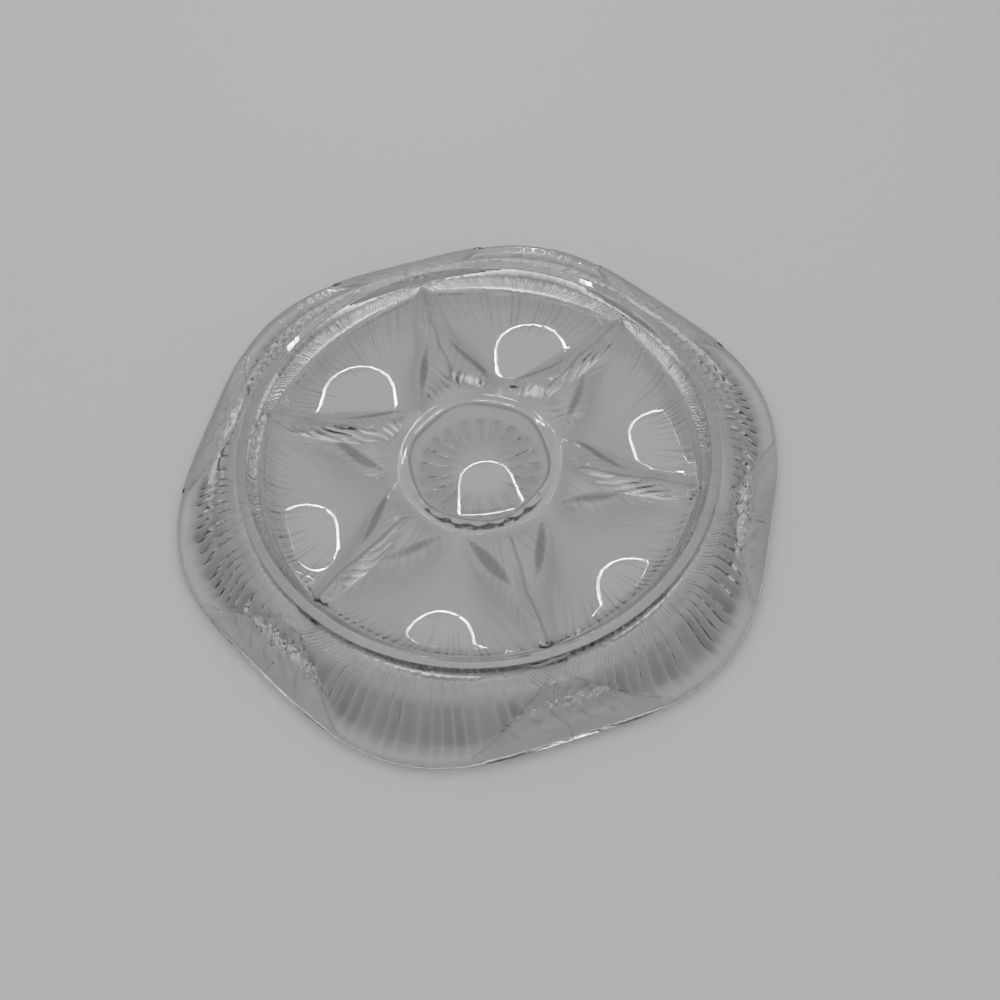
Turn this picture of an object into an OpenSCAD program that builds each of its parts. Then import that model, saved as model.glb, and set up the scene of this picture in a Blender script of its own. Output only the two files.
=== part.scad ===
// Oyster plate in clear pressed glass: six oyster wells round a sauce well,
// inside a raised ring, with a rim of ribbed shells that turns down to the table.
// Millimetres, +Z up. The origin is on the plate's axis, on the table.

/* [Plate] */
// Width over two opposite shells
plate_d = 250; // [236:1:270]
// Height from the table to the top of the ring
plate_h = 25; // [23:0.5:29]
// Thickness of the glass under a well
glass_t = 4.5; // [3.5:0.1:5.5]
// How far the outline dips between two shells
outline_dip = 6.4; // [3:0.2:9]

/* [Ring] */
// Outer diameter of the ring's flat top
ring_d = 190; // [184:1:194]
// Width of the ring's flat top with its rounded edges
ring_w = 4; // [3.4:0.1:5]
// Height of the ring above the shells that carry it
ring_h = 9; // [6:0.5:10]
// Radius on the two top edges of the ring
ring_edge_r = 0.9; // [0.5:0.1:1.3]

/* [Oyster wells] */
// Depth of a well below the ridge beside it
well_depth = 12.5; // [10:0.5:14]
// Distance of a well's lowest point from the plate's axis
well_mid_r = 64; // [60:1:68]
// How far the ridges stay below the top of the ring
ridge_drop = 4.5; // [3.5:0.5:6]
// Width of a ridge where it leaves the sauce well
ridge_w = 36; // [28:1:36]
// Number of short ribs along the outer side of each well
well_ribs = 12; // [6:1:14]
// Depth of the grooves between the ribs of a well
well_rib_depth = 0.6; // [0.2:0.1:0.9]

/* [Sauce well] */
// Diameter of the sauce well at its upper edge
sauce_d = 57.6; // [54:0.2:60]
// Depth of the sauce well
sauce_depth = 3.5; // [2.5:0.5:5]
// Number of petals pressed into its floor
petals = 20; // [12:2:24]
// Length of a petal
petal_len = 11.6; // [8:0.2:14]
// Width of a petal
petal_w = 5; // [3:0.2:7]
// Depth of a petal
petal_depth = 0.5; // [0.3:0.1:0.9]

/* [Rim shells] */
// Number of ribs on each rim shell
ribs = 22; // [12:1:24]
// Depth of the grooves between the ribs
rib_depth = 0.9; // [0.4:0.1:1.4]
// Thickness of the rim's edge
lip_t = 5; // [4:0.5:6.5]
// How far the rough wedges between two rim shells stand up at the edge
wedge_h = 2.4; // [1:0.2:3.5]

/* [Hidden] */
SHELLS = 6;
sector = 360 / SHELLS;
half = sector / 2;

// The flat land that carries the ring
land_z = plate_h - ring_h;
ring_out_r = ring_d / 2;
ring_in_r = ring_out_r - ring_w;
ring_foot_in = 1;
ring_foot_out = 2.5;
land_margin = 0.8;
land_in_r = ring_in_r - ring_foot_in - land_margin;
land_out_r = ring_out_r + ring_foot_out + land_margin;
seam_r = (ring_in_r + ring_out_r) / 2;

// Heights of the wells and their ridges
ridge_z = plate_h - ridge_drop;
floor_z = ridge_z - well_depth;
ridge_end_w = 2.2;
ridge_curve = 1.6;
crest_gap = 1.2;
crest_end_r = land_in_r - crest_gap;
bowl_len_r = 110;
bowl_side_r = 70;
well_rib_in = 17;
well_rib_fade = 9;

// The collar between the sauce well and the oyster wells
collar_w = 4.4;
collar_r = sauce_d / 2 + collar_w;
collar_rise = 1.4;
collar_extra_t = 1.5;
collar_t = glass_t + collar_extra_t;
sauce_lift = 3;
sauce_z = floor_z + sauce_lift;
collar_z = sauce_z + collar_rise;
sauce_floor_z = sauce_z - sauce_depth;
sauce_wall = 3;
petal_round = (petal_w * petal_w / 4 + petal_depth * petal_depth) / (2 * petal_depth);
blend_in = 11;
blend_out = 7;

// The rim and the band it stands on
edge_round = 2.2;
foot_band = 5;
rim_slope = 0.45;
rib_fade = 0.25;
wedge_half = 17;
wedge_soft = 4;

// Steps along and across each solid
well_steps = 2 * well_ribs;
well_rows = 14;
under_rows = 8;
rim_rows = 5;
rim_under_rows = 3;
RING_FN = 180;
EDGE_FN = 48;
PETAL_FN = 64;
glass = [0.84, 0.88, 0.87];

function clamp(x) = min(1, max(0, x));
function smooth(x) = let (c = clamp(x)) c * c * (3 - 2 * c);
function mix(a, b, t) = a + (b - a) * t;
function polar(r, a, z) = [r * cos(a), r * sin(a), z];

// Bowl of a well, no higher than its ridges: r from the plate's axis, a from the well's own axis
function bowl(r, a) =
  let (
    along = r * cos(a) - well_mid_r,
    across = r * sin(a)
  )
  min(ridge_z, floor_z + along * along / (2 * bowl_len_r) + across * across / (2 * bowl_side_r));

// Half the width of a ridge, which narrows from the collar to the ring
function ridge_half(r) = mix(ridge_w / 2, ridge_end_w, clamp((r - collar_r) / (land_in_r - collar_r)));

// Share of the ridge's height that is left at a distance from its crest
function ridge_share(r, a) =
  let (q = r * (half - abs(a)) * PI / 180 / ridge_half(r)) pow(1 - clamp(q), ridge_curve);

// Ties a surface to the level collar inside and, over a set width, to the level land outside
function tied(r, z, z_in, z_out, w) =
  mix(z_out, mix(z_in, z, smooth((r - collar_r) / blend_in)), smooth((land_in_r - r) / w));

// Ribs of a well: a groove on every second step, deeper towards the ring
function well_rib(r, j) =
  j % 2 == 1 ? well_rib_depth * smooth((r - land_in_r + well_rib_in) / well_rib_fade) : 0;

function well_top(r, a, j) =
  let (
    share = ridge_share(r, a),
    b = bowl(r, a) - well_rib(r, j)
  )
  tied(r, mix(b, ridge_z, share), collar_z, land_z, mix(blend_out, crest_gap, share));
function well_under(r, a) =
  tied(r, bowl(r, a) - glass_t, collar_z - collar_t, land_z - glass_t, blend_out);

// Rows of a well: evenly from the collar to the end of the crests, then the land and the seam
function well_r(k, rows) =
  let (first = collar_r / cos(sector / well_steps / 2))
  k < rows - 2 ? mix(first, crest_end_r, k / (rows - 3)) : k < rows - 1 ? land_in_r : seam_r;

// Section of an oyster well at one angle: over the top, then back underneath
function well_section(a, j) = concat(
  [for (k = [0:well_rows - 1]) let (r = well_r(k, well_rows)) polar(r, a, well_top(r, a, j))],
  [for (k = [under_rows - 1:-1:0]) let (r = well_r(k, under_rows)) polar(r, a, well_under(r, a))]
);

// Outline of the rim, widest on the axis of each shell
function outline_r(a) = plate_d / 2 - outline_dip * (1 - cos(SHELLS * a)) / 2;

// Fall of the rim from the land to its edge
function fall(q) = mix(q * q, q, rim_slope);

// Share of the rough wedge between two shells: none by the ring, widest at the edge
function wedge_share(q, a) = smooth((abs(a) - half + wedge_half * q) / wedge_soft);

// Ribs: a crest on every second step, fading at the ring and at the edge
function rib(q, i) = i % 2 == 1 ? rib_depth * smooth(q / rib_fade) * smooth((1 - q) / rib_fade) : 0;

function rim_top(q, a, i) =
  let (w = wedge_share(q, a))
  mix(land_z, lip_t, fall(q)) + w * wedge_h * q - (1 - w) * rib(q, i);

// The well's straight seam facets, so that both solids share one edge
function seam_at(a) =
  let (s = sector / well_steps, c = (a + half) % s - s / 2) seam_r * cos(s / 2) / cos(c);

// Section of a rim shell at one angle: down the top, round the edge and back underneath
function rim_section(a, i) =
  let (
    edge = outline_r(a),
    top_r = edge - edge_round,
    band_r = top_r - foot_band,
    lip = rim_top(1, a, i)
  )
  concat(
    [polar(seam_at(a), a, land_z)],
    [for (k = [0:rim_rows]) let (q = k / rim_rows) polar(mix(land_out_r, top_r, q), a, rim_top(q, a, i))],
    [polar(edge, a, lip / 2), polar(top_r, a, 0)],
    [for (k = [rim_under_rows:-1:0]) let (q = k / rim_under_rows)
      polar(mix(land_out_r, band_r, q), a, (land_z - glass_t) * (1 - fall(q)))],
    [polar(seam_at(a), a, land_z - glass_t)]
  );

// Solid through a row of equal sections, closed by the first and the last one
module loft(sections) {
  n = len(sections[0]);
  m = len(sections);
  sides = [for (j = [0:m - 2], i = [0:n - 1]) let (i1 = (i + 1) % n, p = j * n, q = p + n)
    each [[p + i, q + i, q + i1], [p + i, q + i1, p + i1]]];
  first = [for (i = [0:n - 1]) i];
  last = [for (i = [n - 1:-1:0]) (m - 1) * n + i];
  polyhedron([for (s = sections) each s], concat(sides, [first, last]), convexity = 8);
}

module oyster_well(number) {
  color(glass)
  rotate(sector * (number - 1))
  loft([for (j = [0:well_steps]) well_section(mix(-half, half, j / well_steps), j)]);
}

module rim_shell(number) {
  steps = 2 * ribs;
  color(glass)
  rotate(sector * (number - 1))
  loft([for (i = [0:steps]) rim_section(mix(-half, half, i / steps), i)]);
}

// Ring with drafted sides and rounded top edges, turned in one piece
module ring() {
  shoulder = plate_h - ring_edge_r;
  color(glass)
  rotate_extrude($fn = RING_FN)
  union() {
    polygon([
      [ring_in_r - ring_foot_in, land_z], [ring_out_r + ring_foot_out, land_z],
      [ring_out_r, shoulder], [ring_in_r, shoulder]
    ]);
    translate([ring_in_r + ring_edge_r, shoulder])
    square([ring_w - 2 * ring_edge_r, ring_edge_r]);
    for (r = [ring_in_r + ring_edge_r, ring_out_r - ring_edge_r])
      translate([r, shoulder])
      circle(ring_edge_r, $fn = EDGE_FN);
  }
}

// Shallow round dish with a ring of petals pressed into its floor
module sauce_well() {
  top_r = sauce_d / 2;
  floor_r = top_r - sauce_wall;
  color(glass)
  difference() {
    rotate_extrude($fn = RING_FN)
    polygon([
      [0, sauce_floor_z], [floor_r, sauce_floor_z], [top_r, sauce_z], [collar_r, collar_z],
      [collar_r, collar_z - collar_t], [top_r, sauce_z - collar_t], [floor_r, sauce_floor_z - glass_t],
      [0, sauce_floor_z - glass_t]
    ]);
    for (i = [0:petals - 1])
      rotate(i * 360 / petals)
      translate([floor_r - petal_len, 0, sauce_floor_z + petal_round - petal_depth])
      rotate([0, 90, 0])
      cylinder(h = petal_len, r = petal_round, $fn = PETAL_FN);
  }
}

sauce_well();
ring();
oyster_well(1);  // oyster_well_1
oyster_well(2);  // oyster_well_2
oyster_well(3);  // oyster_well_3
oyster_well(4);  // oyster_well_4
oyster_well(5);  // oyster_well_5
oyster_well(6);  // oyster_well_6
rim_shell(1);  // rim_shell_1
rim_shell(2);  // rim_shell_2
rim_shell(3);  // rim_shell_3
rim_shell(4);  // rim_shell_4
rim_shell(5);  // rim_shell_5
rim_shell(6);  // rim_shell_6
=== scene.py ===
"""Clear pressed-glass oyster plate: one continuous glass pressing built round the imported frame."""
import math

import bmesh
import bpy
import numpy as np
from mathutils import Matrix, Vector


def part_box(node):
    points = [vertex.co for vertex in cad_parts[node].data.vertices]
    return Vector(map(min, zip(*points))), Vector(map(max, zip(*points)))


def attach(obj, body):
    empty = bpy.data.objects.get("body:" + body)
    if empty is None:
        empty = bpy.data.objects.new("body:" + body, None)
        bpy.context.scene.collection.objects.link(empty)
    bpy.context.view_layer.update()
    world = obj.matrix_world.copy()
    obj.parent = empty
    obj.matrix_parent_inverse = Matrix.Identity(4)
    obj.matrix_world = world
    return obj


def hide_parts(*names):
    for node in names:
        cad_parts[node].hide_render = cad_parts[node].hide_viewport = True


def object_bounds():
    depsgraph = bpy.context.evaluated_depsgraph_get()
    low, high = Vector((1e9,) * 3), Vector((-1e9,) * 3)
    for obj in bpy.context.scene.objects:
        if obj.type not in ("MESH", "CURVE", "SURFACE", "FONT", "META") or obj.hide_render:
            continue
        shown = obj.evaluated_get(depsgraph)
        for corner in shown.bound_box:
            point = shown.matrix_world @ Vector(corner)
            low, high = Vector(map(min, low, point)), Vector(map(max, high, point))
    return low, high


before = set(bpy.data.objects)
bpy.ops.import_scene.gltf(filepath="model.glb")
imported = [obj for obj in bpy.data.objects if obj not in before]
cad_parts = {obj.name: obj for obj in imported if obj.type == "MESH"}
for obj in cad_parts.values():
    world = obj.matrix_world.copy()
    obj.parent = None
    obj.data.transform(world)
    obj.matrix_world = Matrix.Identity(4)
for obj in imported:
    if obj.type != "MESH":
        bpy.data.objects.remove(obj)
cad_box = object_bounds()

MM = 0.001
SHELLS = 6
SECTOR = 2 * math.pi / SHELLS

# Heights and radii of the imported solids, in millimetres
ring_low, ring_high = (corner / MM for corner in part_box("ring"))
sauce_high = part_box("sauce_well")[1] / MM
well_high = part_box("oyster_well_1")[1] / MM
plate_high = cad_box[1] / MM
LAND_Z = ring_low.z
TOP_Z = ring_high.z
COLLAR_R = sauce_high.x
COLLAR_Z = sauce_high.z
RIDGE_Z = well_high.z
SHELL_R = plate_high.x
DIP_R = plate_high.y

# Uneven wave that all lines share: strength, rate and shift of each of its parts
WAVES = ((1.0, 1.0, 1.0), (0.6, 1.73, 2.1), (0.4, 2.91, 3.7))
WAVE_SPAN = 2.0

# Ring: flat top with small rounded edges between two coves
RING_OUT = 95.0
RING_IN = 91.0
RING_EDGE = 0.5
COVE_IN = 86.8
COVE_IN_CURVE = 1.7
COVE_OUT = 101.0
COVE_OUT_CURVE = 1.15

# Glass and wells
GLASS_T = 4.5
FLOOR_Z = 8.0
WELL_MID = 61.0
BOWL_ROUND = 90.0
LAND_IN = 89.2
LAND_LAP = 1.0
LAND_FADE = 2.0
BLEND_IN = 11.0
BLEND_OUT = 7.0
CREST_GAP = 1.2
UNDER_FLAT_Z = 7.0
UNDER_FLAT_SOFT = 1.5
UNDER_FLAT = 0.75
COLLAR_FADE = 3.0

# Ridges: half width at the collar and at the ring, and the steep wall beside a well's tip
ARM_IN = 17.6
ARM_OUT = 3.5
ARM_CURVE = 1.1
ARM_WAVER = 0.8
ARM_WAVE = 7.0
WALL_H = 5.5
WALL_W = 2.6
WALL_END = 70.0
SIDE_GAP = 1.0
SIDE_FADE = 3.0

# Leaf veins on the faces of the ridges
VEIN_IN = 34.0
VEIN_FADE = 8.0
VEIN_GAP = 1.5
VEIN_STEP = 3.2
VEIN_SLANT = 0.35
VEIN_WAVER = 0.6
VEIN_WAVE = 8.0
VEIN_SIDE_WAVE = 5.0
VEIN_DEPTH = 0.2

# Feathered ribs that spread over each well's border from a point near its tip
FEATHER_FOCUS = 44.0
FEATHER = math.radians(4.2)
FEATHER_WAVER = 0.8
FEATHER_WAVES = 6.0
FEATHER_DEPTH = 0.6
FEATHER_IN = 68.0
FEATHER_UNEVEN = 6.0
FEATHER_STRIDE = 1.9
FEATHER_FADE = 16.0
FEATHER_SIDE = 9.0

# Sauce well: a shallow dish with a sharp edge, and petals pressed into its underside
SAUCE_R = 28.8
SAUCE_Z = 12.0
SAUCE_FLOOR_R = 27.2
SAUCE_FLOOR_Z = 6.0
SAUCE_UNDER_RISE = 1.0
SAUCE_ROUND = 75.0
SAUCE_CORNER = 0.5
PETALS = 20
PETAL_DEPTH = 1.0
PETAL_IN = 9.0
PETAL_FADE = 8.0
PETAL_END = 2.0
COLLAR_T = 6.0

# Rim: shells that fan out from a point inside the ring and fall to the lip
RIM_IN = 98.3
FALL_START = 0.12
FALL_END = 0.86
EDGE_ROUND = 2.2
FOOT_BAND = 5.0
LIP_T = 5.0
FAN_FOCUS = 55.0
FLUTE = math.radians(5.0)
FLUTE_WAVER = 0.45
FLUTE_WAVES = 9.0
FLUTE_DEPTH = 1.3
FLUTE_TOP = 0.3
FLUTE_START = 0.2
FLUTE_END = 1.05
FLUTE_UNEVEN = 0.05
FLUTE_STRIDE = 2.3
FLUTE_TIP = 0.2
FLUTE_FOOT = 0.16

# Rough wedges between the shells, with their wavering borders
WEDGE_SPREAD = math.radians(17.5)
WEDGE_CURVE = 0.9
WEDGE_START = 0.12
WEDGE_SOFT = 2.0
WEDGE_EDGE_Z = 5.9
BORDER_WAVER = 1.2
BORDER_WAVE = 3.5
LUMP_H = 0.35
LUMP_ACROSS = 1.3
LUMP_UP = 1.6
LUMP_BEND_ACROSS = 2.7
LUMP_BEND_UP = 3.1
LUMP_GRAIN = 2.2
LUMP_GRAIN_SHARE = 0.5
LUMP_START = 0.2
LUMP_END = 0.3

# Fine lines: depth of the groove, the painted shade along it or on the ring's inner cove, and where it fades
COVE_LINE = 0.16
COVE_LINES = 3
COVE_FADE = 4.0
FEATHER_LINE = 0.28
VEIN_LINE = 0.15
VEIN_SHADE = 0.35
PETAL_LINE = 0.14
GROOVE_SHADE = 0.4
BORDER_REACH = 3.0
BORDER_LINE = 0.15
BORDER_SHADE = 0.75
TICKS = 186
TICK_LINE = 0.06
TICK_SHADE = 0.5
TICK_IN = 1.5
TICK_OUT = 0.5
RIM_FADE = 0.1
UNEVEN_LINES = 0.75
LINE_STRIDE = 4.7

# Broken strokes across the wedges, with painted shade along them
HATCH_STEP = 4.2
HATCH_SLANT = 0.6
HATCH_WAVER = 0.5
HATCH_WAVE = 3.0
HATCH_MORE = 0.3
HATCH_LENGTH = 2.2
HATCH_STRIDE = 1.7
HATCH_LINE = 0.25
HATCH_SHADE = 0.8
HATCH_GAP = 1.0
HATCH_END = 0.88
HATCH_FADE = 0.2
HATCH_LIP = 0.93
HATCH_LIP_FADE = 0.1

# Painted shade of the steep places: dark lens shapes beside the ridges for their steep walls, crests, edges,
# ring, lip and flutes
SHADE_MOST = 0.8
SHADE_RAMP = (-1.0, 2.0)
WALL_SHADE = 0.8
LENS_IN = 35.0
LENS_OUT = 62.0
LENS_FROM = 16.5
LENS_TO = 4.0
LENS_HALF = 2.7
LENS_SOFT = 1.6
LENS_VARY = 0.35
LENS_STRIDE = 4.1
LENS_OTHER_SIDE = 2.3
CREST_HALF = 1.0
CREST_SHADE = 0.9
EDGE_SHADE = 0.8
EDGE_HALF = 0.9
RING_SHADE = 0.5
RING_LINE = 0.6
LIP_SHADE = 0.1
LIP_IN = 1.0
LIP_FADE = 0.7
LOBE_SHADE = 0.75

# Mesh: rows of each ring of the form as (first radius, last radius, rows), and steps round the plate
RIM_EDGE = DIP_R - EDGE_ROUND
LIP_SPAN = 2.0
UPPER_CENTRE = [(0.0, 24.0, 9), (25.5, SAUCE_FLOOR_R, 3), (27.7, SAUCE_R, 4), (29.3, COLLAR_R, 5)]
UPPER_WELLS = [(COLLAR_R, 86.0, 25), (87.0, RING_IN, 9), (91.15, 91.9, 3), (93.0, 94.1, 2),
               (94.4, RING_OUT, 3), (95.4, RIM_IN, 5)]
UPPER_RIM = [(RIM_IN, RIM_EDGE, 17)]
LIP = [(RIM_EDGE, RIM_EDGE + LIP_SPAN, 7)]
UNDER_RIM = [(RIM_EDGE, RIM_EDGE - FOOT_BAND, 2), (RIM_EDGE - FOOT_BAND - 0.5, RIM_IN, 12)]
UNDER_WELLS = [(RIM_IN, LAND_IN, 3), (87.5, COLLAR_R, 24)]
UNDER_CENTRE = [(COLLAR_R, SAUCE_FLOOR_R, 3), (25.0, 0.0, 8)]
FINE_STEPS = 1440
STEPS = 720
COARSE_STEPS = 360
SEAM = 1e-6

# Clear glass: marks kept on the mesh, rough places and their painted mottled shade, waves of the fire polish,
# the glass colour and the greenish grey of its painted shade
MARKS = ("line_count", "line_depth", "line_shade", "body_shade", "rough_place")
LINE_SHARP = 0.5
LUMP_SCALE = 300.0
LUMP_DETAIL = 3.0
LUMP_MEAN = 0.5
LUMP_BUMP = 0.5
LUMP_SHADE = 0.5
POLISH_SCALE = 120.0
POLISH_DETAIL = 1.0
POLISH_BUMP = 0.02
CLEAR = (0.995, 1.0, 0.997, 1)
PAINTED_SHADE_COLOUR = (0.18, 0.22, 0.205, 1)
GLASS_IOR = 1.5


def smooth(x):
    x = np.clip(x, 0.0, 1.0)
    return x * x * (3 - 2 * x)


def mix(a, b, t):
    return a + (b - a) * t


def waver(x, seed):
    """Smooth irregular wave between about -1 and 1."""
    return sum(strength * np.sin(rate * x + shift * seed) for strength, rate, shift in WAVES) / WAVE_SPAN


def from_axis(theta):
    """Angle from the axis of the nearest well, and that well's number."""
    number = np.round(theta / SECTOR)
    return theta - number * SECTOR, number % SHELLS


def outline(theta):
    return SHELL_R - (SHELL_R - DIP_R) * (1 - np.cos(SHELLS * theta)) / 2


def bowl(r, a):
    along = r * np.cos(a) - WELL_MID
    across = r * np.sin(a)
    return np.minimum(RIDGE_Z, FLOOR_Z + (along ** 2 + across ** 2) / (2 * BOWL_ROUND))


def under_bowl(r, a):
    """Underside of a well: even thickness in the middle, thicker towards the solid ridges."""
    z = bowl(r, a) - GLASS_T
    return z - UNDER_FLAT * UNDER_FLAT_SOFT * np.logaddexp(0, (z - UNDER_FLAT_Z) / UNDER_FLAT_SOFT)


def tied(r, z, z_in, z_out, width):
    """A surface tied to the collar inside and to the land under the ring outside."""
    return mix(z_out, mix(z_in, z, smooth((r - COLLAR_R) / BLEND_IN)), smooth((LAND_IN - r) / width))


def arm_place(r, a, number):
    """Distance from the nearest ridge's wavering crest, that ridge's half width, and share of its height."""
    arm = mix(ARM_IN, ARM_OUT, np.clip((r - COLLAR_R) / (LAND_IN - COLLAR_R), 0, 1))
    crest = ARM_WAVER * waver(r / ARM_WAVE, number + (a > 0)) * smooth((r - COLLAR_R) / BLEND_IN)
    away = np.abs(r * (SECTOR / 2 - np.abs(a)) - crest * np.sign(a))
    return away, arm, np.clip(1 - away / arm, 0, 1) ** ARM_CURVE


def uneven(across, number):
    """Strength that differs from line to line."""
    return 1 - UNEVEN_LINES * (0.5 + 0.5 * waver(np.round(across) * LINE_STRIDE, number))


def inside_land(r):
    """1 over the wells, fading to 0 under the ring."""
    return smooth((LAND_IN + LAND_LAP - r) / LAND_FADE)


def feather_lines(r, a, number):
    """Count of the ribs across a well, and how strong they are."""
    spread = np.arctan2(r * np.sin(a), r * np.cos(a) - FEATHER_FOCUS)
    across = spread / FEATHER + FEATHER_WAVER * waver(spread * FEATHER_WAVES, number)
    away, arm, _ = arm_place(r, a, number)
    start = FEATHER_IN + FEATHER_UNEVEN * waver(np.round(across) * FEATHER_STRIDE, number + 1)
    by_ring = smooth((r - start) / FEATHER_FADE)
    by_ridge = smooth((FEATHER_SIDE - away + arm) / FEATHER_SIDE) * smooth((r - FEATHER_FOCUS) / FEATHER_FADE)
    strength = np.maximum(by_ring, by_ridge) * smooth((away - arm - SIDE_GAP) / SIDE_FADE) * inside_land(r)
    return across, strength * uneven(across, number)


def vein_lines(r, a, number):
    """Count of the leaf veins along a ridge, and how strong they are."""
    away, arm, _ = arm_place(r, a, number)
    bend = VEIN_WAVER * waver(r / VEIN_WAVE + away / VEIN_SIDE_WAVE, number + 3)
    across = (away - VEIN_SLANT * r) / VEIN_STEP + bend
    strength = smooth(away / VEIN_GAP) * smooth((arm - SIDE_GAP - away) / SIDE_FADE) * inside_land(r)
    return across, strength * smooth((r - VEIN_IN) / VEIN_FADE) * uneven(across, number + 2)


def groove(across):
    """Groove at every whole count."""
    return 1 - np.abs(np.sin(math.pi * across))


def well_top(r, a, number):
    base = bowl(r, a)
    away, arm, share = arm_place(r, a, number)
    wall = WALL_H * (1 - smooth((r - COLLAR_R) / (WALL_END - COLLAR_R)))
    beside = wall * (1 - smooth((away - arm) / WALL_W))
    lift = np.where(away < arm, mix(wall, RIDGE_Z - base, share), beside)
    top = base + np.minimum(lift, RIDGE_Z - base)
    return tied(r, top, COLLAR_Z, LAND_Z, mix(BLEND_OUT, CREST_GAP, share))


def sauce_top(r, theta):
    corner = SAUCE_CORNER * np.cos(SHELLS * theta)
    dish = SAUCE_FLOOR_Z + r ** 2 / (2 * SAUCE_ROUND)
    wall = np.clip((r - SAUCE_FLOOR_R + corner) / (SAUCE_R - SAUCE_FLOOR_R), 0, 1)
    collar = smooth((r - SAUCE_R + corner) / (COLLAR_R - SAUCE_R + corner))
    return mix(mix(dish, SAUCE_Z, wall), COLLAR_Z, collar)


def round_count(theta, lines):
    """Count of even lines round the plate, up one half and down the other so that it closes."""
    return lines / 2 * (1 - np.abs(theta / math.pi - 1))


def petal_lines(r, theta):
    """Count of the petals round the sauce well, and how strong they are."""
    strength = smooth((r - PETAL_IN) / PETAL_FADE) * smooth((SAUCE_FLOOR_R - r) / PETAL_END)
    return round_count(theta, PETALS), strength


def ring_top(r):
    """Height of the ring and its coves over the land."""
    shoulder = TOP_Z - RING_EDGE - LAND_Z
    rising = shoulder * np.clip((r - COVE_IN) / (RING_IN - COVE_IN), 0, 1) ** COVE_IN_CURVE
    falling = shoulder * np.clip((COVE_OUT - r) / (COVE_OUT - RING_OUT), 0, 1) ** COVE_OUT_CURVE
    inset = np.maximum(RING_IN + RING_EDGE - r, r - RING_OUT + RING_EDGE)
    rounded = shoulder + np.sqrt(np.maximum(RING_EDGE ** 2 - np.maximum(inset, 0) ** 2, 0))
    return np.where(r < RING_IN, rising, np.where(r > RING_OUT, falling, rounded))


def rim_place(r, theta):
    """Share of the way from the ring's land to the rim's edge."""
    return np.clip((r - RIM_IN) / (outline(theta) - EDGE_ROUND - RIM_IN), 0, 1)


def fall(q):
    """Share of the way down a rim shell: level at the ring, steep, and level again at the lip."""
    return smooth((q - FALL_START) / (FALL_END - FALL_START))


def flute_lines(r, a, number):
    """Count of the flutes across a fan."""
    spread = np.arctan2(r * np.sin(a), r * np.cos(a) - FAN_FOCUS)
    return spread / FLUTE + FLUTE_WAVER * waver(spread * FLUTE_WAVES, number)


def lobes(r, a, q, number):
    """Round flutes that spread from the fan's focus and fade out unevenly: 1 on top, 0 in a groove."""
    across = flute_lines(r, a, number)
    beside = 2 * np.abs(across - np.round(across))
    end = FLUTE_END + FLUTE_UNEVEN * waver(np.round(across) * FLUTE_STRIDE, number + 2)
    tip = smooth((end - q) / FLUTE_TIP)
    return np.sqrt(np.maximum(1 - beside ** 2, 0)) * tip * smooth(q / FLUTE_START)


def lumps(x, y):
    """Lumps of a rough wedge: wavering cells with a finer grain."""
    across = waver(x / LUMP_ACROSS + np.sin(y / LUMP_BEND_UP), 1)
    up = waver(y / LUMP_UP + np.sin(x / LUMP_BEND_ACROSS), 4)
    return LUMP_H * (across * up + LUMP_GRAIN_SHARE * waver((x + y) / LUMP_GRAIN, 2))


def past_border(r, a, q, number):
    """Distance into a wedge from its wavering border with the fan."""
    border = (SECTOR / 2 - WEDGE_SPREAD * q ** WEDGE_CURVE) * r
    return np.abs(a) * r - border + BORDER_WAVER * waver(r / BORDER_WAVE, number + (a > 0))


def wedge_share(r, a, q, number):
    return smooth(past_border(r, a, q, number) / WEDGE_SOFT) * smooth(q / WEDGE_START)


def hatch_lines(r, a, number):
    """Count of the broken strokes across a wedge, and how strong they are."""
    side = np.sign(a) * (SECTOR / 2 - np.abs(a)) * r
    wedge = (number + (a > 0)) % SHELLS
    across = (r + HATCH_SLANT * side) / HATCH_STEP + HATCH_WAVER * waver(side / HATCH_WAVE, wedge)
    broken = waver(side / HATCH_LENGTH + HATCH_STRIDE * np.round(across), wedge)
    return across, np.clip(HATCH_MORE + broken, 0, 1)


def rim_top(r, theta):
    a, number = from_axis(theta)
    q = rim_place(r, theta)
    wedge = wedge_share(r, a, q, number)
    x, y = r * np.cos(theta), r * np.sin(theta)
    lumpy = smooth(q / LUMP_START) * smooth((1 - q) / LUMP_END)
    rough = mix(LAND_Z, WEDGE_EDGE_Z, q) + lumps(x, y) * lumpy
    shell = mix(LAND_Z, LIP_T, fall(q)) + FLUTE_TOP * lobes(r, a, q, number)
    return mix(shell, rough, wedge)


def top_height(r, theta):
    """Upper side of the glass."""
    a, number = from_axis(theta)
    inside = np.where(r < COLLAR_R, sauce_top(r, theta), well_top(r, a, number))
    land = np.where(r < LAND_IN, inside, LAND_Z)
    return np.where(r < RIM_IN, land, rim_top(r, theta)) + ring_top(r)


def band_place(r, theta):
    """Share of the way under the rim, from the ring to the flat band that the plate stands on."""
    return np.clip((r - RIM_IN) / (outline(theta) - EDGE_ROUND - FOOT_BAND - RIM_IN), 0, 1)


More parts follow.
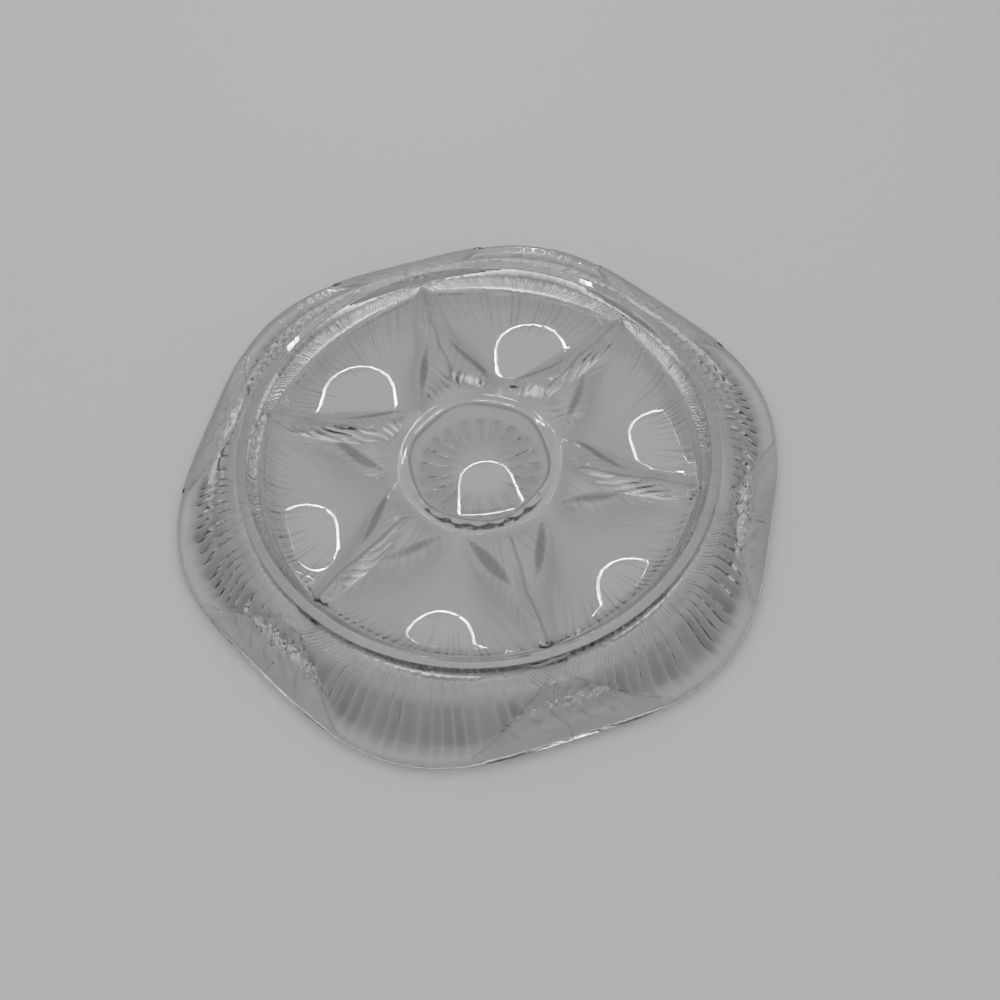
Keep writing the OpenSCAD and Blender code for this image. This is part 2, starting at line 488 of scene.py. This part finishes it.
def under_height(r, theta):
    """Lower side of the glass, with the pressed pattern, down to the flat band it stands on."""
    a, number = from_axis(theta)
    petal, by_petal = petal_lines(r, theta)
    middle = SAUCE_FLOOR_Z - GLASS_T
    levels = [middle, middle + SAUCE_UNDER_RISE, SAUCE_Z - COLLAR_T, COLLAR_Z - COLLAR_T]
    sauce = np.interp(r, [0, SAUCE_FLOOR_R, SAUCE_R, COLLAR_R], levels)
    sauce = sauce + PETAL_DEPTH * by_petal * np.abs(np.cos(math.pi * petal))
    well = tied(r, under_bowl(r, a), COLLAR_Z - COLLAR_T, LAND_Z - GLASS_T, BLEND_OUT)
    for lines, depth in ((feather_lines, FEATHER_DEPTH), (vein_lines, VEIN_DEPTH)):
        across, strength = lines(r, a, number)
        well = well + depth * strength * groove(across) * smooth((r - COLLAR_R) / COLLAR_FADE)
    q = band_place(r, theta)
    wedge = wedge_share(r, a, q, number)
    x, y = r * np.cos(theta), r * np.sin(theta)
    flutes = FLUTE_DEPTH * (1 - lobes(r, a, q, number)) * smooth((1 - q) / FLUTE_FOOT)
    rough = (LUMP_H + lumps(x, y)) * smooth((1 - q) / LUMP_END)
    rim = (LAND_Z - GLASS_T) * (1 - fall(q)) + mix(flutes, rough, wedge) * smooth(q / FLUTE_START)
    return np.where(r < COLLAR_R, sauce, np.where(r < LAND_IN, well, rim))


def under_marks(r, theta):
    """Fine lines of the underside: their count across, their depth and painted shade, the painted shade of
    the fans' lobes, and the rough places.
    """
    a, number = from_axis(theta)
    q = band_place(r, theta)
    wedge = wedge_share(r, a, q, number)
    feather, by_feather = feather_lines(r, a, number)
    vein, by_vein = vein_lines(r, a, number)
    petal, by_petal = petal_lines(r, theta)
    flute = flute_lines(r, a, number)
    fine = COVE_LINES * flute
    on_ridge = by_vein > by_feather
    hatch, by_hatch = hatch_lines(r, a, number)
    by_hatch = by_hatch * smooth(2 * wedge - 1) * smooth((HATCH_END - q) / HATCH_FADE)
    by_cove = smooth((r - LAND_IN) / LAND_FADE) * smooth((FLUTE_START - q) / RIM_FADE) * smooth(1 - 2 * wedge)
    by_cove = by_cove * uneven(fine, number) * smooth((SECTOR / 2 - np.abs(a)) * r / COVE_FADE)
    by_flute = (1 - wedge) * smooth((q - FLUTE_START) / RIM_FADE) * uneven(flute, number)
    on_rim = (r > RIM_IN) & (q < 1)
    places = [r < COLLAR_R, (r < LAND_IN) & on_ridge, r < LAND_IN, on_rim & (wedge > 0.5), q < FLUTE_START]
    count = np.select(places, [petal, vein, feather, hatch, fine], 0)
    strength = [by_petal, by_vein, by_feather, by_hatch, by_cove]
    depths = [PETAL_LINE, VEIN_LINE, FEATHER_LINE, HATCH_LINE, COVE_LINE]
    depth = np.select(places, [d * by for d, by in zip(depths, strength)], 0)
    # Painted shade along the petals, veins, feathers and strokes; none along the cove lines
    shades = [GROOVE_SHADE, VEIN_SHADE, GROOVE_SHADE, GROOVE_SHADE, 0]
    line_shade = np.select(places, [d * by for d, by in zip(shades, strength)], 0)
    # Painted shade in the fans' lobes for the shadowed table seen through them; the grooves between stay
    # clear
    rim_shade = np.where(on_rim, LOBE_SHADE * by_flute * lobes(r, a, q, number) ** 2, 0)
    return count, depth, line_shade, rim_shade, np.where(on_rim, wedge, 0)


def upper_marks(r, theta):
    """Lines of the upper side by the ring and on the wedges with their painted shade, painted shade of its
    steep places and edges, and rough places.
    """
    a, number = from_axis(theta)
    q = rim_place(r, theta)
    away, arm, _ = arm_place(r, a, number)
    # Painted shade: dark lenses on the ridges' faces and dark crest lines
    along = np.clip((r - LENS_IN) / (LENS_OUT - LENS_IN), 0, 1)
    vary = LENS_VARY * waver(LENS_STRIDE * number + LENS_OTHER_SIDE * (a > 0), 1)
    half = LENS_HALF * (1 + vary) * np.sin(math.pi * along)
    lens = half - np.abs(away - mix(LENS_FROM, LENS_TO, along))
    crest = CREST_HALF * smooth((r - COLLAR_R) / BLEND_IN) - away
    wall = np.maximum(WALL_SHADE * lens / LENS_SOFT, CREST_SHADE * crest / CREST_HALF)
    wall = np.clip(wall, *SHADE_RAMP)
    # Painted shade: a dark line round the sauce well's edge, dark lines on the ring's edges and a darker
    # inner cove
    edge = SAUCE_FLOOR_R + (SAUCE_R - SAUCE_FLOOR_R) / 2 - SAUCE_CORNER * np.cos(SHELLS * theta)
    sauce_edge = EDGE_SHADE * (1 - np.abs(r - edge) / EDGE_HALF)
    on_ring = np.minimum(np.abs(r - RING_IN), np.abs(r - RING_OUT))
    ring_line = RING_SHADE * np.clip(1 - (on_ring / RING_LINE) ** 2, 0, 1)
    by_tick = smooth((r - COVE_IN) / TICK_IN) * smooth((RING_IN - r) / TICK_OUT)
    by_ring = ring_line + TICK_SHADE * by_tick
    shade = np.where(r < COLLAR_R, sauce_edge, np.where(r < COVE_IN, wall, by_ring))
    # Painted shade along the wedges' borders and strokes, over grooves pressed there
    past = past_border(r, a, q, number)
    by_border = smooth(q / RIM_FADE) * np.clip(1 - (past / BORDER_REACH) ** 2, 0, 1)
    hatch, by_hatch = hatch_lines(r, a, number)
    by_hatch = by_hatch * smooth((past - BORDER_REACH - HATCH_GAP) / HATCH_GAP)
    by_hatch = by_hatch * smooth((HATCH_LIP - q) / HATCH_LIP_FADE)
    tick = round_count(theta, TICKS)
    count = np.select([r <= RING_OUT, past > BORDER_REACH], [tick, hatch], past / (2 * BORDER_REACH))
    depth = TICK_LINE * by_tick * uneven(tick, 0) + BORDER_LINE * by_border + HATCH_LINE * by_hatch
    line_shade = BORDER_SHADE * by_border + HATCH_SHADE * by_hatch
    rough = np.where(r > RIM_IN, wedge_share(r, a, q, number), 0)
    return count, depth, line_shade, shade, rough


def lip_marks(r, theta):
    """Painted shade on the rim's outer edge."""
    none = np.zeros_like(r)
    return none, none, none, LIP_SHADE * smooth((r - outline(theta) + LIP_IN) / LIP_FADE), none


def stretched(flat_r, theta):
    """Radius on the finished plate: the rim reaches out to the wavy outline."""
    reach = np.clip((flat_r - RIM_IN) / (RIM_EDGE - RIM_IN), 0, 1)
    return flat_r + reach * (outline(theta) - DIP_R)


def upper_side(flat_r, theta):
    r = stretched(flat_r, theta)
    return r, top_height(r, theta)


def under_side(flat_r, theta):
    r = stretched(flat_r, theta)
    return r, under_height(r, theta)


def rounded_lip(flat_r, theta):
    """Half turn round the rim's edge, from the upper side to the flat band underneath."""
    turn = math.pi * (flat_r - RIM_EDGE) / LIP_SPAN
    edge = outline(theta) - EDGE_ROUND
    return edge + EDGE_ROUND * np.sin(turn), top_height(edge, theta) * (1 + np.cos(turn)) / 2


def pressed_ring(bm, rows, steps, form, marks, split=None):
    """Flat strip of rows bent round the plate's axis and pressed into its form.

    One border may be split to meet a neighbour with twice the steps: -1 for the first row, 1 for the last.
    """
    radii = np.concatenate([np.linspace(*row) for row in rows])
    before = len(bm.verts)
    strip = bmesh.ops.create_grid(bm, x_segments=len(radii) - 1, y_segments=steps, size=0.5)["verts"]
    if split:
        border = {v for v in strip if v.co.x * split > 0.5 - SEAM}
        edges = {e for v in border for e in v.link_edges if e.verts[0] in border and e.verts[1] in border}
        bmesh.ops.subdivide_edges(bm, edges=list(edges), cuts=1)
    bm.verts.ensure_lookup_table()
    verts = bm.verts[before:]
    flat = np.array([v.co for v in verts]) + 0.5
    theta = 2 * math.pi * flat[:, 1]
    r, z = form(np.interp(flat[:, 0] * (len(radii) - 1), np.arange(len(radii)), radii), theta)
    for v, x, y, h in zip(verts, r * np.cos(theta), r * np.sin(theta), z):
        v.co = Vector((x, y, h)) * MM
    layers = [bm.verts.layers.float[name] for name in MARKS]
    for v, *values in zip(verts, *marks(r, theta)):
        for layer, value in zip(layers, values):
            v[layer] = value


def glass_plate():
    bm = bmesh.new()
    for name in MARKS:
        bm.verts.layers.float.new(name)
    pressed_ring(bm, UPPER_CENTRE, COARSE_STEPS, upper_side, upper_marks, 1)
    pressed_ring(bm, UPPER_WELLS, STEPS, upper_side, upper_marks)
    pressed_ring(bm, UPPER_RIM, STEPS, upper_side, upper_marks)
    pressed_ring(bm, LIP, STEPS, rounded_lip, lip_marks, 1)
    pressed_ring(bm, UNDER_RIM, FINE_STEPS, under_side, under_marks)
    pressed_ring(bm, UNDER_WELLS, STEPS, under_side, under_marks, -1)
    pressed_ring(bm, UNDER_CENTRE, COARSE_STEPS, under_side, under_marks, -1)
    bmesh.ops.remove_doubles(bm, verts=bm.verts[:], dist=SEAM)
    bmesh.ops.recalc_face_normals(bm, faces=bm.faces[:])
    mesh = bpy.data.meshes.new("glass_plate")
    bm.to_mesh(mesh)
    bm.free()
    mesh.polygons.foreach_set("use_smooth", [True] * len(mesh.polygons))
    plate = bpy.data.objects.new("glass_plate", mesh)
    bpy.context.scene.collection.objects.link(plate)
    return plate


def linked(tree, kind, *inputs, **settings):
    """New node with its settings, whose first inputs take values or other nodes' outputs."""
    node = tree.nodes.new(kind)
    for name, value in settings.items():
        setattr(node, name, value)
    for socket, value in zip(node.inputs, inputs):
        if isinstance(value, bpy.types.NodeSocket):
            tree.links.new(value, socket)
        elif value is not None:
            socket.default_value = value
    return node.outputs[0]


def calculated(tree, operation, *inputs):
    return linked(tree, "ShaderNodeMath", *inputs, operation=operation)


def pressed_relief():
    """Relief of the glass in millimetres from fine lines, rough places and polish waves, and the painted
    shade of its lines, steep places and rough places.
    """
    group = bpy.data.node_groups.new("pressed_relief", "ShaderNodeTree")
    for name in MARKS:
        group.interface.new_socket(name, in_out="INPUT", socket_type="NodeSocketFloat")
    group.interface.new_socket("place", in_out="INPUT", socket_type="NodeSocketVector")
    for name in ("height", "shade"):
        group.interface.new_socket(name, in_out="OUTPUT", socket_type="NodeSocketFloat")
    given = group.nodes.new("NodeGroupInput").outputs
    taken = group.nodes.new("NodeGroupOutput").inputs
    wave = calculated(group, "SINE", calculated(group, "MULTIPLY", given["line_count"], math.pi))
    ridge = calculated(group, "POWER", calculated(group, "ABSOLUTE", wave), LINE_SHARP)
    groove = calculated(group, "SUBTRACT", 1.0, ridge)
    lumps = linked(group, "ShaderNodeTexNoise", given["place"], None, LUMP_SCALE, LUMP_DETAIL)
    rough = calculated(group, "MULTIPLY", lumps, given["rough_place"])
    waves = linked(group, "ShaderNodeTexNoise", given["place"], None, POLISH_SCALE, POLISH_DETAIL)
    height = calculated(group, "MULTIPLY", ridge, given["line_depth"])
    height = calculated(group, "MULTIPLY_ADD", rough, LUMP_BUMP, height)
    height = calculated(group, "MULTIPLY_ADD", waves, POLISH_BUMP, height)
    # Painted mottled shade on the rough places, darker where the noise is high
    mottled_shade = calculated(group, "MAXIMUM", calculated(group, "SUBTRACT", lumps, LUMP_MEAN), 0.0)
    mottled_shade = calculated(group, "MULTIPLY", mottled_shade, given["rough_place"])
    # Painted shade of the steep places and lobes, kept between 0 and its most
    body = calculated(group, "MAXIMUM", given["body_shade"], 0.0)
    body = calculated(group, "MINIMUM", body, SHADE_MOST)
    shade = calculated(group, "MULTIPLY_ADD", groove, given["line_shade"], body)
    shade = calculated(group, "MULTIPLY_ADD", mottled_shade, LUMP_SHADE, shade)
    group.links.new(height, taken["height"])
    group.links.new(shade, taken["shade"])
    return group


def clear_glass():
    material = bpy.data.materials.new("clear_glass")
    material.use_nodes = True
    tree = material.node_tree
    shader = tree.nodes["Principled BSDF"]
    shader.inputs["Roughness"].default_value = 0.0
    shader.inputs["IOR"].default_value = GLASS_IOR
    shader.inputs["Transmission Weight"].default_value = 1.0
    relief = tree.nodes.new("ShaderNodeGroup")
    relief.node_tree = pressed_relief()
    for name in MARKS:
        mark = tree.nodes.new("ShaderNodeAttribute")
        mark.attribute_name = name
        tree.links.new(mark.outputs["Fac"], relief.inputs[name])
    place = tree.nodes.new("ShaderNodeTexCoord")
    tree.links.new(place.outputs["Object"], relief.inputs["place"])
    bump = tree.nodes.new("ShaderNodeBump")
    bump.inputs["Strength"].default_value = 1.0
    bump.inputs["Distance"].default_value = MM
    tree.links.new(relief.outputs["height"], bump.inputs["Height"])
    tree.links.new(bump.outputs["Normal"], shader.inputs["Normal"])
    # Painted shade: the glass colour is mixed towards a dark greenish grey by the relief's shade
    painted_shade_mix = tree.nodes.new("ShaderNodeMix")
    painted_shade_mix.data_type = "RGBA"
    clear, shade_colour = [socket for socket in painted_shade_mix.inputs if socket.type == "RGBA"]
    clear.default_value = CLEAR
    shade_colour.default_value = PAINTED_SHADE_COLOUR
    tree.links.new(relief.outputs["shade"], painted_shade_mix.inputs["Factor"])
    tree.links.new([out for out in painted_shade_mix.outputs if out.type == "RGBA"][0], shader.inputs["Base Color"])
    return material


def plain_surface(name, colour, roughness):
    material = bpy.data.materials.new(name)
    material.use_nodes = True
    shader = material.node_tree.nodes["Principled BSDF"]
    shader.inputs["Base Color"].default_value = (*colour, 1)
    shader.inputs["Roughness"].default_value = roughness
    return material


plate = glass_plate()
plate.data.materials.append(clear_glass())
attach(plate, "root")
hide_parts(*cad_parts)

# Camera at the photograph's viewing angle, turned with the plate so that a ridge points to the front
VIEW_TURN = math.radians(-12.3)
CAMERA_AT = Vector((0.0, -0.23939, 0.38601))
LOOK = Vector((0.01570928, 0.50666126, -0.86200208))
UP = Vector((0.0875324, 0.85810172, 0.50596394))
FOCAL_SHARE = 1.1
SENSOR_WIDTH = 36
CLIP_START = 0.01
turn = Matrix.Rotation(VIEW_TURN, 3, "Z")
camera_data = bpy.data.cameras.new("camera")
camera_data.sensor_width = SENSOR_WIDTH
camera_data.lens = SENSOR_WIDTH * FOCAL_SHARE
camera_data.clip_start = CLIP_START
camera = bpy.data.objects.new("camera", camera_data)
bpy.context.scene.collection.objects.link(camera)
right = LOOK.cross(UP)
axes = Matrix((turn @ right, turn @ UP, turn @ -LOOK)).transposed()
camera.matrix_world = Matrix.Translation(turn @ CAMERA_AT) @ axes.to_4x4()
bpy.context.scene.camera = camera

# Table, a hair below the plate's flat band so that the two faces don't share a plane
TABLE_SIZE = 15.0
TABLE_GAP = 0.15 * MM
TABLE_COLOUR = (0.72, 0.72, 0.71)
TABLE_ROUGHNESS = 0.7
bm = bmesh.new()
bmesh.ops.create_grid(bm, x_segments=1, y_segments=1, size=TABLE_SIZE)
bmesh.ops.translate(bm, verts=bm.verts[:], vec=(0, 0, -TABLE_GAP))
table_mesh = bpy.data.meshes.new("table")
bm.to_mesh(table_mesh)
bm.free()
table = bpy.data.objects.new("table", table_mesh)
bpy.context.scene.collection.objects.link(table)
table_mesh.materials.append(plain_surface("pale_table", TABLE_COLOUR, TABLE_ROUGHNESS))

# Surround: soft light from above and behind that falls off to the horizon
SKY_PEAK = 1.05
SKY_LOW = 0.32
SKY_RISE = math.radians(80)
SKY_FALL = 3.0
world = bpy.data.worlds.new("surround")
bpy.context.scene.world = world
world.use_nodes = True
sky = world.node_tree
sky_towards = turn @ Vector((0, math.cos(SKY_RISE), math.sin(SKY_RISE)))
direction = sky.nodes.new("ShaderNodeTexCoord")
facing = sky.nodes.new("ShaderNodeVectorMath")
facing.operation = "DOT_PRODUCT"
facing.inputs[1].default_value = sky_towards
sky.links.new(direction.outputs["Generated"], facing.inputs[0])
share = calculated(sky, "POWER", calculated(sky, "MAXIMUM", facing.outputs["Value"], 0.0), SKY_FALL)
level = calculated(sky, "MULTIPLY_ADD", share, SKY_PEAK - SKY_LOW, SKY_LOW)
sky.links.new(level, sky.nodes["Background"].inputs["Color"])

# Light: an arched outline of light strips with a dim panel inside it, behind and above the plate
LIGHT_TURN = math.radians(3) + VIEW_TURN
LIGHT_RISE = math.radians(44)
LIGHT_AWAY = 0.9
LIGHT_WIDTH = 0.35
LIGHT_HEIGHT = 0.58
ARCH_HEIGHT = 0.22
ARCH_STRIPS = 8
STRIP_WIDTH = 0.015
STRIP_LEVEL = 15.0
PANEL_LEVEL = 0.8
light_way = Matrix.Rotation(LIGHT_TURN, 4, "Z") @ Matrix.Rotation(LIGHT_RISE, 4, "X")
light_at = light_way @ Vector((0, LIGHT_AWAY, 0))
light_turn = light_at.to_track_quat("Z", "Y").to_matrix().to_4x4()


def lamp(name, middle, width, height, level, lean=0.0):
    """Flat lamp at a place on the light's plane, facing the plate, with the brightness of its face."""
    data = bpy.data.lights.new(name, "AREA")
    data.shape = "RECTANGLE"
    data.size = width
    data.size_y = height
    data.energy = level * math.pi * width * height
    panel = bpy.data.objects.new(name, data)
    bpy.context.scene.collection.objects.link(panel)
    panel.matrix_world = (Matrix.Translation(light_at) @ light_turn @ Matrix.Translation((*middle, 0))
                          @ Matrix.Rotation(lean, 4, "Z"))
    panel.visible_diffuse = False
    panel.visible_transmission = False


foot = -LIGHT_HEIGHT / 2
spring = LIGHT_HEIGHT / 2 - ARCH_HEIGHT
corners = [Vector((-LIGHT_WIDTH / 2, foot)), Vector((LIGHT_WIDTH / 2, foot))]
for step in range(ARCH_STRIPS + 1):
    angle = math.pi * step / ARCH_STRIPS
    corners.append(Vector((LIGHT_WIDTH / 2 * math.cos(angle), spring + ARCH_HEIGHT * math.sin(angle))))
for start, end in zip(corners, corners[1:] + corners[:1]):
    along = end - start
    lean = math.atan2(along.y, along.x)
    lamp("light_strip", (start + end) / 2, along.length, STRIP_WIDTH, STRIP_LEVEL, lean)
lamp("dim_panel", (0, 0), LIGHT_WIDTH, LIGHT_HEIGHT - ARCH_HEIGHT / 2, PANEL_LEVEL)

bpy.context.scene.view_settings.view_transform = "Standard"
